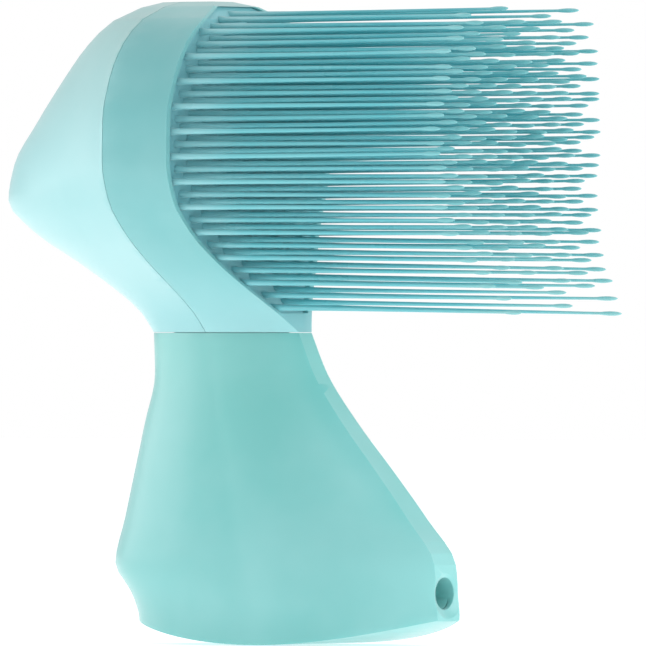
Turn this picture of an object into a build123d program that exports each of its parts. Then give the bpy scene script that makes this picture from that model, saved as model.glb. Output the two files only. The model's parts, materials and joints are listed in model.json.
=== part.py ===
"""Pet grooming pin brush: a hollow handle, a head frame whose tang plugs into it, a humped back
cover, a soft pin bed with a stiff plate behind it, and rows of long soft pins.

Frame: origin on the hanging hole's axis, +Z up the handle, +X the way the pins point,
Y across the brush. Millimetres and degrees.
"""

import os
from math import asin, degrees

from build123d import *

# Handle and head
HANDLE_FOOT = -12.1  # lowest point of the handle
SEAM = 60.4  # parting line between handle and head
HEAD_TOP = 137.8
PARTING_GAP = 0.12  # shadow line where two mouldings meet
WALL = 2.2  # moulded walls of handle and back cover
CAVITY_FOOT, CAVITY_TOP = -5.0, 39.6  # hollow of the handle
FOOT_ARC = [(-60, 0.5), (3, HANDLE_FOOT), (62, -0.5)]  # underside of the foot, in x and z
FOOT_CUT = 80  # deeper and wider than the whole foot

# Hanging hole, along X near the foot of the handle
HOLE_RADIUS = 3.75
HOLE_TUBE_RADIUS = 6.3
HOLE_TUBE_ENDS = (-40.0, 42.5)
DISH_RADIUS = 10.0  # shallow round dish about each mouth of the hole
DISH_CENTRES = (-50.5, 53.3)

# Tang of the head frame, plugged into the handle
TANG_LENGTH = 25.0
TANG_DEPTH = 30.0
TANG_WIDTH = 13.0
TANG_CENTRE = -16.4
FIT_GAP = 0.1

# Pin bed, set into the front of the head frame
RIM_WALL = 1.6
LEDGE = 2.0  # step that the backing plate sits on
BED_RECESS = 1.2
BED_THICK = 3.0
BACKING_THICK = 1.6
POCKET_FOOT, POCKET_TOP = 65.0, 136.6
INNER_FOOT, INNER_TOP = 70.5, 133.6
POCKET_OVERRUN = 5.0  # the pocket's cut runs this far out past the front

# Pins
ROW_COUNT = 24
FIRST_ROW = 67.0
LAST_ROW = 134.0
PIN_PITCH = 5.2  # spacing along a row
STAGGER = 0.65  # pins of a row sit this much higher and lower in turn
PIN_LENGTH = 79.0  # face of the bed to the tip, half way up the head
END_ROW_EXTRA = 4.0  # pins of the first and last rows are longer
PIN_ROOT_DEPTH = 2.2  # part of the pin inside the bed
PIN_MARGIN = 1.5  # outermost pin to the edge of the bed
ROOT_RADIUS = 0.72
NECK_RADIUS = 0.56
END_RADIUS = 0.34
BEAD_RADIUS = 0.52
ROOT_LENGTH = 18.0  # thicker part of the pin next to the bed
BEAD_LENGTH = 5.0
TIP_SPREAD = (18.6, 0.45)  # half width of a row's tips: a constant plus a share of its roots
TILT_UP = 0.3  # tilt of the top row
TILT_DOWN = 0.9  # tilt of the bottom row

# Horizontal sections from top to bottom of each moulding: height, x of the back ridge, x of the
# widest line, half width there, x of the front, half width of the flat front, roundness of sides
HANDLE_STATIONS = [
    (SEAM, -37.4, -16.0, 11.0, 4.6, 2.6, 1.0),
    (50.8, -37.0, -14.0, 11.6, 9.0, 2.8, 1.0),
    (39.6, -39.6, -10.7, 13.4, 17.2, 3.2, 1.0),
    (28.4, -42.2, -7.0, 15.6, 27.0, 3.6, 1.0),
    (17.2, -44.8, -4.0, 17.6, 36.4, 4.0, 1.0),
    (6.6, -47.4, -1.2, 19.0, 44.2, 4.4, 1.0),
    (0.0, -43.0, 1.2, 19.4, 44.8, 4.5, 1.0),
    (-5.0, -40.8, 2.4, 19.0, 45.2, 4.5, 1.0),
    (HANDLE_FOOT - 1.0, -40.0, 2.6, 18.4, 44.6, 4.4, 1.0),
]
HEAD_STATIONS = [
    (SEAM + PARTING_GAP, -37.4, -16.0, 11.0, 4.6, 2.6, 1.0),
    (65.0, -41.0, -17.6, 13.4, 1.6, 7.0, 0.7),
    (70.5, -48.6, -20.2, 18.0, -2.4, 13.4, 0.4),
    (77.0, -59.5, -23.4, 24.0, -6.4, 20.6, 0.2),
    (84.0, -72.0, -26.6, 28.8, -9.8, 26.4, 0.12),
    (91.5, -79.6, -28.8, 32.2, -11.4, 31.0, 0.08),
    (100.0, -77.8, -29.2, 34.0, -11.6, 33.2, 0.08),
    (110.0, -71.0, -29.2, 33.8, -11.6, 33.0, 0.08),
    (120.0, -63.4, -29.2, 30.8, -11.6, 30.0, 0.08),
    (128.0, -56.6, -29.0, 25.6, -11.8, 24.8, 0.08),
    (133.6, -49.6, -28.6, 18.4, -12.4, 17.0, 0.1),
    (136.6, -42.0, -27.6, 11.0, -15.0, 9.0, 0.1),
    (HEAD_TOP, -36.0, -26.8, 5.0, -19.0, 4.0, 0.1),
]
BAND_HEIGHT = 2.4  # the mouldings are lofted through sections about this far apart


def slope_at(stations, number, column):
    """Slope of a column at a station, flat where the column turns back, so that nothing overshoots."""
    if number in (0, len(stations) - 1):
        return None
    before, here, after = stations[number - 1 : number + 2]
    rise_before = (here[column] - before[column]) / (here[0] - before[0])
    rise_after = (after[column] - here[column]) / (after[0] - here[0])
    if rise_before * rise_after <= 0:
        return 0
    return 2 * rise_before * rise_after / (rise_before + rise_after)


def between(stations, number, share):
    """Section at a share of the way from one station to the next, on a smooth curve."""
    low, high = stations[number], stations[number + 1]
    span = high[0] - low[0]
    values = [low[0] + share * span]
    for column in range(1, len(low)):
        chord = (high[column] - low[column]) / span
        slopes = [slope_at(stations, number + end, column) for end in (0, 1)]
        start, finish = [chord if slope is None else slope for slope in slopes]
        step = high[column] - low[column]
        ease = share**2 * (3 - 2 * share)
        lead = share * (1 - share) ** 2 * span * start
        tail = share**2 * (share - 1) * span * finish
        values.append(low[column] + step * ease + lead + tail)
    return tuple(values)


def smooth_sections(stations):
    """Sections about BAND_HEIGHT apart, on smooth curves through the stations."""
    sections = []
    for number, (low, high) in enumerate(zip(stations, stations[1:])):
        bands = max(1, round(abs(high[0] - low[0]) / BAND_HEIGHT))
        sections += [between(stations, number, band / bands) for band in range(bands)]
    return sections + [stations[-1]]


HANDLE_SECTIONS = smooth_sections(HANDLE_STATIONS)
HEAD_SECTIONS = smooth_sections(HEAD_STATIONS)
POCKET_SECTIONS = [s for s in HEAD_SECTIONS if POCKET_FOOT <= s[0] <= POCKET_TOP]
INNER_SECTIONS = [s for s in HEAD_SECTIONS if INNER_FOOT <= s[0] <= INNER_TOP]
CAVITY_SECTIONS = [s for s in HANDLE_SECTIONS if CAVITY_FOOT <= s[0] <= CAVITY_TOP]

os.makedirs("parts", exist_ok=True)


def side_line(section, inset, side):
    """Rounded side wall of a section, from its widest line to its flat front. side is 1 or -1."""
    _, _, widest, half, front, front_half, roundness = section
    half, front, front_half = half - inset, front - inset, front_half - inset / 2
    middle_x = widest + (front - widest) * (0.5 + 0.15 * roundness)
    middle_y = front_half + (half - front_half) * (0.5 + 0.21 * roundness)
    ThreePointArc((widest, side * half), (middle_x, side * middle_y), (front, side * front_half))
    return front, front_half


def back_curve(section, inset, shift):
    """Curve round the back of a section, from one side over the ridge to the other."""
    _, ridge, widest, half, _, _, roundness = section
    ridge, half, start = ridge + inset, half - inset, widest + shift
    slope = half / (start - ridge) * (1 - roundness)
    Spline(
        (start, half),
        (ridge, 0),
        (start, -half),
        tangents=((-1, -slope), (0, -1), (1, -slope)),
        tangent_scalars=(1.0, 0.45 + 0.45 * roundness, 1.0),
    )
    return start, half


def whole_profile(section, inset):
    """A whole section of the handle."""
    with BuildSketch(Plane.XY.offset(section[0])) as profile:
        with BuildLine():
            front, front_half = side_line(section, inset, 1)
            side_line(section, inset, -1)
            Line((front, front_half), (front, -front_half))
            back_curve(section, inset, 0)
        make_face()
    return profile.sketch


def front_profile(section):
    """The part of a section in front of its widest line."""
    _, _, widest, half, _, _, _ = section
    with BuildSketch(Plane.XY.offset(section[0])) as profile:
        with BuildLine():
            front, front_half = side_line(section, 0, 1)
            side_line(section, 0, -1)
            Line((front, front_half), (front, -front_half))
            Line((widest, half), (widest, -half))
        make_face()
    return profile.sketch


def back_profile(section, inset, shift):
    """The part of a section behind its widest line, its flat front moved along X by shift."""
    with BuildSketch(Plane.XY.offset(section[0])) as profile:
        with BuildLine():
            start, half = back_curve(section, inset, shift)
            Line((start, half), (start, -half))
        make_face()
    return profile.sketch


def block_profile(height, back, front, half):
    """A rectangle from back to front, to half either side of the middle."""
    with BuildSketch(Plane.XY.offset(height)) as profile:
        with Locations(((back + front) / 2, 0)):
            Rectangle(front - back, 2 * half)
    return profile.sketch


def bed_profile(section, behind, ahead, inset):
    """A rectangle that follows the front of the head, inset from its edge."""
    return block_profile(section[0], section[4] - behind, section[4] + ahead, section[5] - inset)


def at_height(height, column):
    """Value of a head section's column at any height, on a straight line between two sections."""
    for low, high in zip(HEAD_SECTIONS, HEAD_SECTIONS[1:]):
        if low[0] <= height <= high[0]:
            share = (height - low[0]) / (high[0] - low[0])
            return low[column] + share * (high[column] - low[column])


# Handle: hollow moulding with a socket for the tang and a tube that carries the hanging hole
with BuildPart() as handle:
    loft([whole_profile(section, 0) for section in HANDLE_SECTIONS], ruled=True)
    with BuildSketch(Plane.XZ.offset(-FOOT_CUT)):
        with BuildLine():
            ThreePointArc(*FOOT_ARC)
            Polyline(FOOT_ARC[0], (FOOT_ARC[0][0], -FOOT_CUT), (FOOT_ARC[2][0], -FOOT_CUT), FOOT_ARC[2])
        make_face()
    extrude(amount=2 * FOOT_CUT, mode=Mode.SUBTRACT)
    hollow = [whole_profile(section, WALL) for section in CAVITY_SECTIONS]
    loft(hollow, ruled=True, mode=Mode.SUBTRACT)
    with BuildSketch(Plane.XY.offset(SEAM)):
        with Locations((TANG_CENTRE, 0)):
            SlotOverall(TANG_DEPTH + 2 * FIT_GAP, TANG_WIDTH + 2 * FIT_GAP)
    extrude(amount=-TANG_LENGTH, mode=Mode.SUBTRACT)
    with BuildSketch(Plane.YZ.offset(HOLE_TUBE_ENDS[0])):
        Circle(HOLE_TUBE_RADIUS)
    extrude(amount=HOLE_TUBE_ENDS[1] - HOLE_TUBE_ENDS[0])
    with BuildSketch(Plane.YZ.offset(-FOOT_CUT)):
        Circle(HOLE_RADIUS)
    extrude(amount=2 * FOOT_CUT, mode=Mode.SUBTRACT)
    for centre in DISH_CENTRES:
        with Locations((centre, 0, 0)):
            Sphere(DISH_RADIUS, mode=Mode.SUBTRACT)

def build_pin(length):
    """One pin along +X, its root pressed into the bed behind the origin."""
    with BuildPart() as pin:
        with BuildSketch():
            with BuildLine():
                bead_start = length - BEAD_LENGTH
                Polyline(
                    (-PIN_ROOT_DEPTH, 0),
                    (-PIN_ROOT_DEPTH, ROOT_RADIUS),
                    (0, ROOT_RADIUS),
                    (ROOT_LENGTH, NECK_RADIUS),
                    (bead_start, END_RADIUS),
                    (length - BEAD_LENGTH * 0.6, BEAD_RADIUS),
                    (length - BEAD_RADIUS, BEAD_RADIUS),
                )
                RadiusArc((length - BEAD_RADIUS, BEAD_RADIUS), (length, 0), BEAD_RADIUS)
                Line((length, 0), (-PIN_ROOT_DEPTH, 0))
            make_face()
        revolve(axis=Axis.X)
    return pin.part


def build_row(index):
    """One row of pins: a group of separate solids."""
    height = FIRST_ROW + (LAST_ROW - FIRST_ROW) * index / (ROW_COUNT - 1)
    middle = (FIRST_ROW + LAST_ROW) / 2
    reach = (height - middle) / (LAST_ROW - middle)
    pin = build_pin(PIN_LENGTH + END_ROW_EXTRA * reach**2)
    local_half = min(at_height(height - STAGGER, 5), at_height(height + STAGGER, 5))
    root_half = local_half - RIM_WALL - PIN_MARGIN - (PIN_PITCH / 2) * (index % 2)
    tip_half = TIP_SPREAD[0] + TIP_SPREAD[1] * root_half
    count = max(2, round(2 * root_half / PIN_PITCH) + 1)
    tilt = TILT_UP * reach if reach > 0 else TILT_DOWN * reach
    with BuildPart() as row:
        for number in range(count):
            share = 2 * number / (count - 1) - 1
            step = STAGGER if number % 2 else -STAGGER
            face = at_height(height + step, 4) - BED_RECESS
            fan = degrees(asin((tip_half - root_half) * share / PIN_LENGTH))
            with Locations(Location((face, root_half * share, height + step), (0, -tilt, fan))):
                add(pin)
    return row.part


rows = [build_row(index) for index in range(ROW_COUNT)]

# Head frame: rim, hollow middle and the tang that plugs into the handle
pocket_depth = BED_RECESS + BED_THICK + BACKING_THICK
opening_inset = RIM_WALL + LEDGE
with BuildPart() as head_frame:
    loft([front_profile(section) for section in HEAD_SECTIONS], ruled=True)
    loft(
        [bed_profile(section, pocket_depth, POCKET_OVERRUN, RIM_WALL) for section in POCKET_SECTIONS],
        ruled=True,
        mode=Mode.SUBTRACT,
    )
    loft(
        [block_profile(s[0], s[2] - 1, s[4], s[5] - opening_inset) for s in INNER_SECTIONS],
        ruled=True,
        mode=Mode.SUBTRACT,
    )
    with BuildSketch(Plane.XY.offset(SEAM + PARTING_GAP)):
        with Locations((TANG_CENTRE, 0)):
            SlotOverall(TANG_DEPTH, TANG_WIDTH)
    extrude(amount=-TANG_LENGTH)

# Back cover: humped shell, closed round the edge by the frame
with BuildPart() as back_cover:
    loft([back_profile(section, 0, -PARTING_GAP) for section in HEAD_SECTIONS], ruled=True)
    hollow = [back_profile(section, WALL, 1) for section in INNER_SECTIONS]
    loft(hollow, ruled=True, mode=Mode.SUBTRACT)

# Pin bed: soft, so that the roots of the pins are pressed into it
bed_inset = RIM_WALL + FIT_GAP
with BuildPart() as pin_bed:
    loft(
        [bed_profile(s, BED_RECESS + BED_THICK, -BED_RECESS, bed_inset) for s in POCKET_SECTIONS],
        ruled=True,
    )

with BuildPart() as backing_plate:
    loft(
        [bed_profile(s, pocket_depth, -BED_RECESS - BED_THICK, bed_inset) for s in POCKET_SECTIONS],
        ruled=True,
    )

for name, part in [
    ("handle", handle.part),
    ("head_frame", head_frame.part),
    ("back_cover", back_cover.part),
    ("pin_bed", pin_bed.part),
    ("backing_plate", backing_plate.part),
] + [(f"pin_row_{index + 1:02d}", row) for index, row in enumerate(rows)]:
    part.label = name
    export_step(part, f"parts/{name}.step")
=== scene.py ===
"""Looks of the pet grooming pin brush: moulded mint plastic, and long soft pins in rows."""

import json
import math
import random

import bmesh
import bpy
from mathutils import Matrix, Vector

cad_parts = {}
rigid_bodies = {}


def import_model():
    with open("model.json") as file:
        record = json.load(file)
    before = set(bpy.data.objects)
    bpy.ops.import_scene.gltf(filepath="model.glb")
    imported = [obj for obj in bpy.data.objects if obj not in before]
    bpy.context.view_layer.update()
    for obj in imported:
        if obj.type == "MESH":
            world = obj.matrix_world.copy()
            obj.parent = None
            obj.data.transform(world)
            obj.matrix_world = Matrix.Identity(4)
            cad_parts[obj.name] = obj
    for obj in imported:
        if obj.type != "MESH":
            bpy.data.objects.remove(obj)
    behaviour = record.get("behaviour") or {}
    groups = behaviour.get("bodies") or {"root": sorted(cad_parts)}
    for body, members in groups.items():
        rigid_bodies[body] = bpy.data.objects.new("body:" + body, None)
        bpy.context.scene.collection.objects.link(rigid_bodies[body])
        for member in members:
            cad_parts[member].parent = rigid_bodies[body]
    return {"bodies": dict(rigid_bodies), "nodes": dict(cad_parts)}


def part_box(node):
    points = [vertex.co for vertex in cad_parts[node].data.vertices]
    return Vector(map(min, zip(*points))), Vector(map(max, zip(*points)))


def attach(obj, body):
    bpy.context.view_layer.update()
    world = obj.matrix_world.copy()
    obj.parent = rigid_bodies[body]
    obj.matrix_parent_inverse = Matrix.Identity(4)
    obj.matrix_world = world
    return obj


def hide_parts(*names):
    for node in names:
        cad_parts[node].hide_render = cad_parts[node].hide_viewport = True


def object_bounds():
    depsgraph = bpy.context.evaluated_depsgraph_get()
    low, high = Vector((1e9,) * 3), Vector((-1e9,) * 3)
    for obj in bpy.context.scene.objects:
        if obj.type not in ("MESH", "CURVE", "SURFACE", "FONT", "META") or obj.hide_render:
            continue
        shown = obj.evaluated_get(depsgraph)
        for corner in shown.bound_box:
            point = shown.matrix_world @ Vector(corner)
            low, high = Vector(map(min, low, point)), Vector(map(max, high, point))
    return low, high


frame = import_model()
cad_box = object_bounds()
BODY = next(iter(frame["bodies"]))
MM = 0.001

# Camera
VIEW_AZIMUTH = math.radians(35)  # 0 is a side view, with the pins pointing right
LENS = 1000.0
SENSOR = 36.0
CLIP_NEAR, CLIP_FAR = 0.05, 50
PICTURE_WIDTH = 150.6 * MM  # width of the view at the brush
AIM_SIDE = 7.9 * MM  # middle of the view, to the right of the origin
AIM_HEIGHT = 62.7 * MM

# Stage
AMBIENT = 0.62  # light from the white surroundings, which the camera sees at full strength
LIGHTS = [  # name, azimuth in degrees, height, distance, size, power
    ("left_light", -75, 0.35, 0.9, 0.7, 2.2),
    ("right_light", 105, 0.30, 0.9, 0.7, 4.0),
    ("top_light", 30, 1.1, 0.4, 0.8, 1.4),
]
FLOOR_GAP = 0.2 * MM
FLOOR_SIZE = 12.0
FLOOR_GLOW = 0.5  # keeps the floor as white as the surroundings
FLOOR_TONES = [(0.0, (0.93, 0.93, 0.93, 1)), (1.0, (0.97, 0.97, 0.97, 1))]
FLOOR_NOISE = 3.0
FLOOR_ROUGHNESS = 0.9
FLOOR_SPECULAR = 0.1

# Colours along each moulding or pin: share of the way, and 8-bit screen colour
HANDLE_COLOURS = [(0.0, (116, 194, 192)), (0.25, (126, 203, 201)), (1.0, (122, 202, 197))]
FRAME_COLOURS = [
    (0.0, (150, 214, 218)),
    (0.3, (124, 196, 198)),
    (0.9, (112, 186, 188)),
    (1.0, (122, 196, 196)),
]
# Back cover: the mint plastic made paler than the frame, as painted light from the left light on its
# facets
COVER_COLOURS_WITH_PAINTED_LIGHT = [(0.0, (150, 212, 216)), (0.5, (146, 211, 214)), (1.0, (124, 197, 196))]
BED_COLOURS = [(0.0, (120, 196, 205)), (1.0, (150, 208, 214))]
PLATE_COLOURS = [(0.0, (110, 186, 190)), (1.0, (118, 192, 194))]
# Pins: their own cyan, deepened along the middle as painted shade where the pins shade one another
PIN_COLOURS_WITH_PAINTED_SHADE = [
    (0.0, (140, 205, 212)),
    (0.22, (90, 190, 200)),
    (0.6, (88, 188, 199)),
    (1.0, (132, 196, 198)),
]
PIN_COLOUR_START = 12 * MM  # the pins' colours start this far behind the bed's foremost edge

# Plastic: pale patches, uneven roughness and a fine moulded grain
PATCH_COLOUR = (190, 232, 234)
PATCH_SCALE = 35.0
PATCH_EDGES = (0.35, 0.7)  # noise values between which a patch fades in
PATCH_STRENGTH = 0.18
SATIN, GLOSSY, DULL = 0.32, 0.28, 0.5  # roughness of the mouldings, the pins, and the bed and its plate
ROUGHNESS_SCALE = 60.0
ROUGHNESS_SPREAD = (0.85, 1.2)
GRAIN_SCALE = 2600.0
GRAIN_DETAIL = 2.0
GRAIN_STRENGTH = 0.12
GRAIN_HEIGHT = 0.05 * MM
PLASTIC = {
    "IOR": 1.49,
    "Subsurface Weight": 0.12,
    "Subsurface Radius": (0.6, 1.0, 1.0),
    "Subsurface Scale": 3 * MM,
    "Coat Weight": 0.25,
    "Coat Roughness": 0.2,
    "Sheen Weight": 0.35,
    "Sheen Roughness": 0.45,
}

# Edges of the mouldings
MERGE_DISTANCE = 0.002 * MM
SHARP_ANGLE = math.radians(38)
EDGE_STEPS = 3
HANDLE_EDGE = 0.35 * MM
FRAME_EDGE = 0.7 * MM
COVER_EDGE = 0.3 * MM
BED_EDGE = 0.2 * MM  # of the pin bed and its backing plate

# Pins: profile as (distance from the root or, when negative, from the tip, radius), in millimetres
PIN_PROFILE = [
    (0.0, 0.72), (2.1, 0.95), (2.9, 0.9), (4.2, 0.76), (12.0, 0.68), (20.0, 0.58), (45.0, 0.45),
    (-7.0, 0.34), (-5.4, 0.34), (-4.4, 0.46), (-3.2, 0.54), (-2.0, 0.53), (-1.0, 0.42), (-0.3, 0.22),
]
PIN_SIDES = 10
ROOT_ZONE = 0.5 * MM  # points of a CAD pin this close to its back end are its root
LENGTH_LOSS = 1.6 * MM  # most that a pin is shorter than its CAD pin
BEND_SIDEWAYS = 0.8 * MM  # most that a tip leaves the straight line
BEND_UPWARD = 0.42 * MM
BEND_UNEVENNESS = 0.5


def srgb(red, green, blue):
    """Linear colour of an 8-bit screen colour."""
    values = [value / 255 for value in (red, green, blue)]
    linear = [v / 12.92 if v <= 0.04045 else ((v + 0.055) / 1.055) ** 2.4 for v in values]
    return (*linear, 1.0)


def new_material(name):
    """A new node material, with its node tree and its shader."""
    material = bpy.data.materials.new(name)
    material.use_nodes = True
    tree = material.node_tree
    return material, tree, tree.nodes["Principled BSDF"]


def object_axis(tree, axis):
    """Socket with the object's own X, Y or Z in metres."""
    coordinates = tree.nodes.new("ShaderNodeTexCoord")
    separate = tree.nodes.new("ShaderNodeSeparateXYZ")
    tree.links.new(coordinates.outputs["Object"], separate.inputs[0])
    return separate.outputs[axis]


def ramp(tree, source, low, high, stops):
    """Colour ramp over source from low to high. stops are (share, linear colour)."""
    spread = tree.nodes.new("ShaderNodeMapRange")
    spread.inputs["From Min"].default_value = low
    spread.inputs["From Max"].default_value = high
    tree.links.new(source, spread.inputs["Value"])
    node = tree.nodes.new("ShaderNodeValToRGB")
    node.color_ramp.interpolation = "EASE"
    elements = node.color_ramp.elements
    while len(elements) < len(stops):
        elements.new(0.5)
    for element, (share, colour) in zip(elements, stops):
        element.position = share
        element.color = colour
    tree.links.new(spread.outputs[0], node.inputs[0])
    return node.outputs["Color"]


def noise(tree, scale, detail=3.0):
    """Noise over the object's own space."""
    coordinates = tree.nodes.new("ShaderNodeTexCoord")
    node = tree.nodes.new("ShaderNodeTexNoise")
    node.inputs["Scale"].default_value = scale
    node.inputs["Detail"].default_value = detail
    tree.links.new(coordinates.outputs["Object"], node.inputs["Vector"])
    return node.outputs["Fac"]


def mottle(tree, colour):
    """colour with patches that lean to PATCH_COLOUR."""
    patches = tree.nodes.new("ShaderNodeMapRange")
    patches.inputs["From Min"].default_value, patches.inputs["From Max"].default_value = PATCH_EDGES
    patches.inputs["To Max"].default_value = PATCH_STRENGTH
    tree.links.new(noise(tree, PATCH_SCALE), patches.inputs["Value"])
    mix = tree.nodes.new("ShaderNodeMix")
    mix.data_type = "RGBA"
    tree.links.new(patches.outputs[0], mix.inputs["Factor"])
    tree.links.new(colour, mix.inputs[6])
    mix.inputs[7].default_value = srgb(*PATCH_COLOUR)
    return mix.outputs[2]


def surface_grain(tree, shader, roughness):
    """Roughness that varies slightly, and a fine moulded grain."""
    vary = tree.nodes.new("ShaderNodeMapRange")
    smoothest, roughest = ROUGHNESS_SPREAD
    vary.inputs["To Min"].default_value = roughness * smoothest
    vary.inputs["To Max"].default_value = roughness * roughest
    tree.links.new(noise(tree, ROUGHNESS_SCALE), vary.inputs["Value"])
    tree.links.new(vary.outputs[0], shader.inputs["Roughness"])
    bump = tree.nodes.new("ShaderNodeBump")
    bump.inputs["Strength"].default_value = GRAIN_STRENGTH
    bump.inputs["Distance"].default_value = GRAIN_HEIGHT
    tree.links.new(noise(tree, GRAIN_SCALE, GRAIN_DETAIL), bump.inputs["Height"])
    tree.links.new(bump.outputs[0], shader.inputs["Normal"])


def moulded_plastic(name, axis, low, high, colours, roughness):
    """Faintly translucent plastic whose colour drifts from low to high along one axis of the brush."""
    material, tree, shader = new_material(name)
    stops = [(share, srgb(*colour)) for share, colour in colours]
    colour = ramp(tree, object_axis(tree, axis), low, high, stops)
    tree.links.new(mottle(tree, colour), shader.inputs["Base Color"])
    surface_grain(tree, shader, roughness)
    for socket, value in PLASTIC.items():
        shader.inputs[socket].default_value = value
    return material


def floor_pale():
    """Floor: near-white, with the faintest unevenness."""
    material, tree, shader = new_material("floor_pale")
    colour = ramp(tree, noise(tree, FLOOR_NOISE), 0.0, 1.0, FLOOR_TONES)
    tree.links.new(colour, shader.inputs["Base Color"])
    shader.inputs["Roughness"].default_value = FLOOR_ROUGHNESS
    shader.inputs["Specular IOR Level"].default_value = FLOOR_SPECULAR
    shader.inputs["Emission Color"].default_value = (1, 1, 1, 1)
    shader.inputs["Emission Strength"].default_value = FLOOR_GLOW
    return material


def add_camera():
    """Level camera with a long lens, VIEW_AZIMUTH round from the side view towards the pins."""
    data = bpy.data.cameras.new("camera")
    data.lens, data.sensor_width = LENS, SENSOR
    data.clip_start, data.clip_end = CLIP_NEAR, CLIP_FAR
    camera = bpy.data.objects.new("camera", data)
    bpy.context.scene.collection.objects.link(camera)
    right = Vector((math.cos(VIEW_AZIMUTH), math.sin(VIEW_AZIMUTH), 0))
    back = Vector((math.sin(VIEW_AZIMUTH), -math.cos(VIEW_AZIMUTH), 0))
    aim = right * AIM_SIDE + Vector((0, 0, AIM_HEIGHT))
    camera.location = aim + back * (PICTURE_WIDTH * LENS / SENSOR)
    camera.rotation_euler = (-back).to_track_quat("-Z", "Y").to_euler()
    bpy.context.scene.camera = camera


def add_area(name, azimuth, height, distance, size, power):
    """Square soft light, aimed at mid-height. Its azimuth is measured as the camera's is."""
    data = bpy.data.lights.new(name, "AREA")
    data.size, data.energy = size, power
    light = bpy.data.objects.new(name, data)
    bpy.context.scene.collection.objects.link(light)
    angle = math.radians(azimuth)
    light.location = (math.sin(angle) * distance, -math.cos(angle) * distance, height)
    aim = Vector((0, 0, AIM_HEIGHT)) - light.location
    light.rotation_euler = aim.to_track_quat("-Z", "Y").to_euler()


def add_surroundings():
    """White world that lights the brush less than the camera sees it."""
    scene = bpy.context.scene
    scene.view_settings.view_transform = "Standard"
    scene.world = scene.world or bpy.data.worlds.new("world")
    scene.world.use_nodes = True
    tree = scene.world.node_tree
    background = tree.nodes["Background"]
    background.inputs["Color"].default_value = (1, 1, 1, 1)
    ray = tree.nodes.new("ShaderNodeLightPath")
    strength = tree.nodes.new("ShaderNodeMapRange")
    strength.inputs["To Min"].default_value = AMBIENT
    tree.links.new(ray.outputs["Is Camera Ray"], strength.inputs["Value"])
    tree.links.new(strength.outputs[0], background.inputs["Strength"])


def add_floor():
    """Pale floor just under the brush."""
    mesh = bpy.data.meshes.new("floor")
    half, level = FLOOR_SIZE / 2, cad_box[0].z - FLOOR_GAP
    corners = [(-half, -half, level), (half, -half, level), (half, half, level), (-half, half, level)]
    mesh.from_pydata(corners, [], [(0, 1, 2, 3)])
    mesh.materials.append(floor_pale())
    floor = bpy.data.objects.new("floor", mesh)
    bpy.context.scene.collection.objects.link(floor)


def dress(node, material, edge):
    """Gives a CAD node its material and softens its sharp edges with modifiers."""
    piece = frame["nodes"][node]
    piece.data.materials.clear()
    piece.data.materials.append(material)
    weld = piece.modifiers.new("weld", "WELD")
    weld.merge_threshold = MERGE_DISTANCE
    bevel = piece.modifiers.new("soft_edges", "BEVEL")
    bevel.width, bevel.segments = edge, EDGE_STEPS
    bevel.limit_method, bevel.angle_limit = "ANGLE", SHARP_ANGLE
    bevel.harden_normals = True
    bevel.use_clamp_overlap = True


def islands(mesh):
    """Groups of joined vertices, as lists of coordinates."""
    work = bmesh.new()
    work.from_mesh(mesh)
    bmesh.ops.remove_doubles(work, verts=work.verts, dist=MERGE_DISTANCE)
    seen, groups = set(), []
    for start in work.verts:
        if start in seen:
            continue
        seen.add(start)
        group, queue = [], [start]
        while queue:
            vertex = queue.pop()
            group.append(vertex.co.copy())
            for edge in vertex.link_edges:
                other = edge.other_vert(vertex)
                if other not in seen:
                    seen.add(other)
                    queue.append(other)
        groups.append(group)
    work.free()
    return groups


def pin_line(points):
    """Root centre and tip of one CAD pin."""
    back = min(point.x for point in points)
    root_ring = [point for point in points if point.x < back + ROOT_ZONE]
    root = sum(root_ring, Vector()) / len(root_ring)
    return root, max(points, key=lambda point: point.x)


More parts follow.
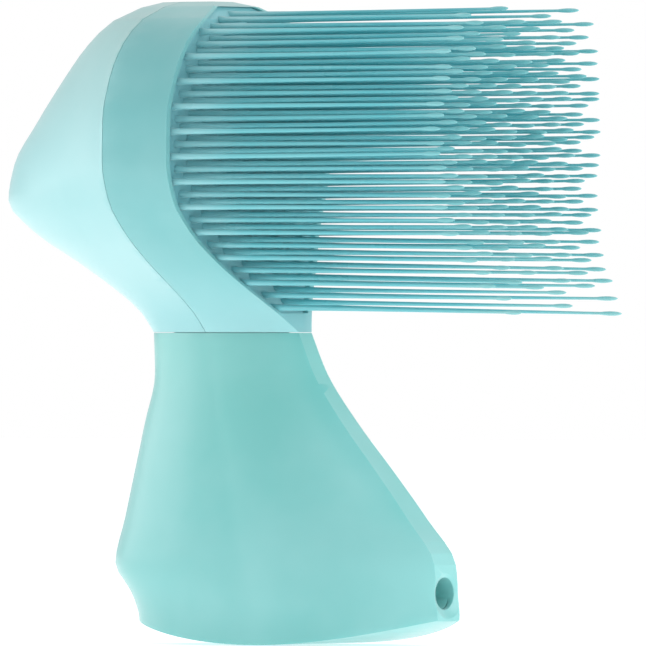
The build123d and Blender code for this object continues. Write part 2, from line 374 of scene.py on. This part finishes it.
def add_pin(work, root, tip, chance):
    """One long tapered pin with a collar at its root, a slight bend and a slim bead at its tip."""
    axis = tip - root
    length = axis.length - chance.random() ** 2 * LENGTH_LOSS
    axis.normalize()
    side = axis.cross(Vector((0, 0, 1))).normalized()
    upward = side.cross(axis)
    lean = Vector((chance.uniform(-1, 1) * BEND_SIDEWAYS, chance.uniform(-1, 1) * BEND_UPWARD))
    curl = chance.uniform(-BEND_UNEVENNESS, BEND_UNEVENNESS)
    rings = []
    for distance, radius in PIN_PROFILE:
        along = distance * MM if distance >= 0 else length + distance * MM
        share = along / length
        bend = share**2 * (1 + curl * (1 - share))
        centre = root + axis * along + (side * lean.x + upward * lean.y) * bend
        turns = [2 * math.pi * number / PIN_SIDES for number in range(PIN_SIDES)]
        around = [side * math.cos(turn) + upward * math.sin(turn) for turn in turns]
        rings.append([work.verts.new(centre + step * radius * MM) for step in around])
    for near, far in zip(rings, rings[1:]):
        for number in range(PIN_SIDES):
            after = (number + 1) % PIN_SIDES
            work.faces.new((near[number], near[after], far[after], far[number]))
    work.faces.new(list(reversed(rings[0])))
    end = work.verts.new(root + axis * length + side * lean.x + upward * lean.y)
    for number in range(PIN_SIDES):
        work.faces.new((rings[-1][number], rings[-1][(number + 1) % PIN_SIDES], end))


def add_pin_row(node, material):
    """Soft pins in place of one CAD row."""
    chance = random.Random(node)
    work = bmesh.new()
    for points in islands(frame["nodes"][node].data):
        root, tip = pin_line(points)
        add_pin(work, root, tip, chance)
    bmesh.ops.recalc_face_normals(work, faces=work.faces)
    mesh = bpy.data.meshes.new(node + "_soft")
    work.to_mesh(mesh)
    work.free()
    mesh.materials.append(material)
    mesh.shade_smooth()
    piece = bpy.data.objects.new(node + "_soft", mesh)
    bpy.context.scene.collection.objects.link(piece)
    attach(piece, BODY)
    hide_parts(node)


# Camera and stage
add_camera()
add_surroundings()
for light in LIGHTS:
    add_area(*light)
add_floor()

# Materials
foot_z, top_z = cad_box[0].z, cad_box[1].z
seam_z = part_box("handle")[1].z
bed_back, bed_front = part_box("pin_bed")[0].x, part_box("pin_bed")[1].x
pins_start, pins_end = bed_front - PIN_COLOUR_START, cad_box[1].x
handle_plastic = moulded_plastic("handle_plastic", "Z", foot_z, seam_z, HANDLE_COLOURS, SATIN)
frame_plastic = moulded_plastic("frame_plastic", "Z", seam_z, top_z, FRAME_COLOURS, SATIN)
# Cover material: mint plastic with painted light, paler than the frame's
cover_plastic = moulded_plastic("cover_plastic", "Z", seam_z, top_z, COVER_COLOURS_WITH_PAINTED_LIGHT, SATIN)
bed_elastomer = moulded_plastic("bed_elastomer", "X", bed_back, bed_front, BED_COLOURS, DULL)
plate_plastic = moulded_plastic("plate_plastic", "Z", seam_z, top_z, PLATE_COLOURS, DULL)
# Pin material: cyan plastic with painted shade along the middle of the pins
pin_plastic = moulded_plastic("pin_plastic", "X", pins_start, pins_end, PIN_COLOURS_WITH_PAINTED_SHADE, GLOSSY)

# Mouldings and pins
dress("handle", handle_plastic, HANDLE_EDGE)
dress("head_frame", frame_plastic, FRAME_EDGE)
dress("back_cover", cover_plastic, COVER_EDGE)
dress("pin_bed", bed_elastomer, BED_EDGE)
dress("backing_plate", plate_plastic, BED_EDGE)
for node in sorted(frame["nodes"]):
    if node.startswith("pin_row_"):
        add_pin_row(node, pin_plastic)
